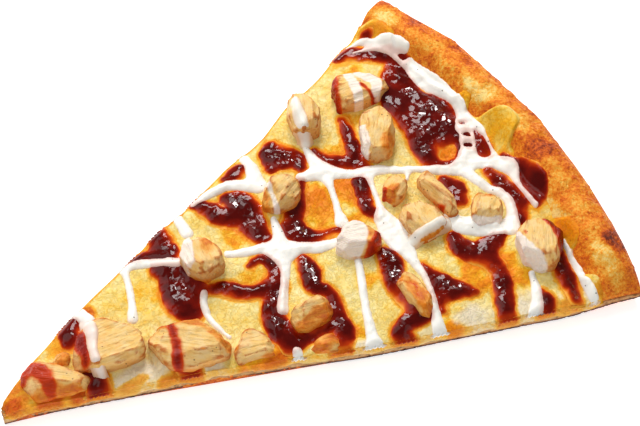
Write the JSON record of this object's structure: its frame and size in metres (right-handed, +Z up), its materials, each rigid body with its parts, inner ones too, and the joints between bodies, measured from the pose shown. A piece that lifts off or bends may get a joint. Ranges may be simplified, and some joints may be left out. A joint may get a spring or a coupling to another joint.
{
  "type": "barbecue chicken pizza slice",
  "caption": "Wedge of baked pizza with a raised browned rim, melted cheese, diced chicken and barbecue and white sauce drizzled over the top.",
  "frame": {"origin": "bottom centre of the slice's bounding box, on the surface it rests on", "axes": "+X from the point to the rim along the slice's centre line, +Z up through the layers, +Y across the slice"},
  "size_m": [0.1778, 0.127, 0.0151],
  "materials": {
    "crust": "baked dough, golden brown and dry, with darker blisters",
    "cheese": "melted cheese, pale yellow with golden browned patches, slightly oily",
    "chicken": "cooked chicken, pale with seared edges, moist",
    "barbecue_sauce": "thick barbecue sauce, dark red-brown and glossy",
    "white_sauce": "creamy white dressing, satin"
  },
  "bodies": {
    "root": {"crust": "crust", "cheese": "cheese", "chicken_01": "chicken", "chicken_02": "chicken", "chicken_03": "chicken", "chicken_04": "chicken", "chicken_05": "chicken", "chicken_06": "chicken", "chicken_07": "chicken", "chicken_08": "chicken", "chicken_09": "chicken", "chicken_10": "chicken", "chicken_11": "chicken", "chicken_12": "chicken", "chicken_13": "chicken", "chicken_14": "chicken", "chicken_15": "chicken", "chicken_16": "chicken", "chicken_17": "chicken", "chicken_18": "chicken", "chicken_19": "chicken"}
  },
  "joints": []
}
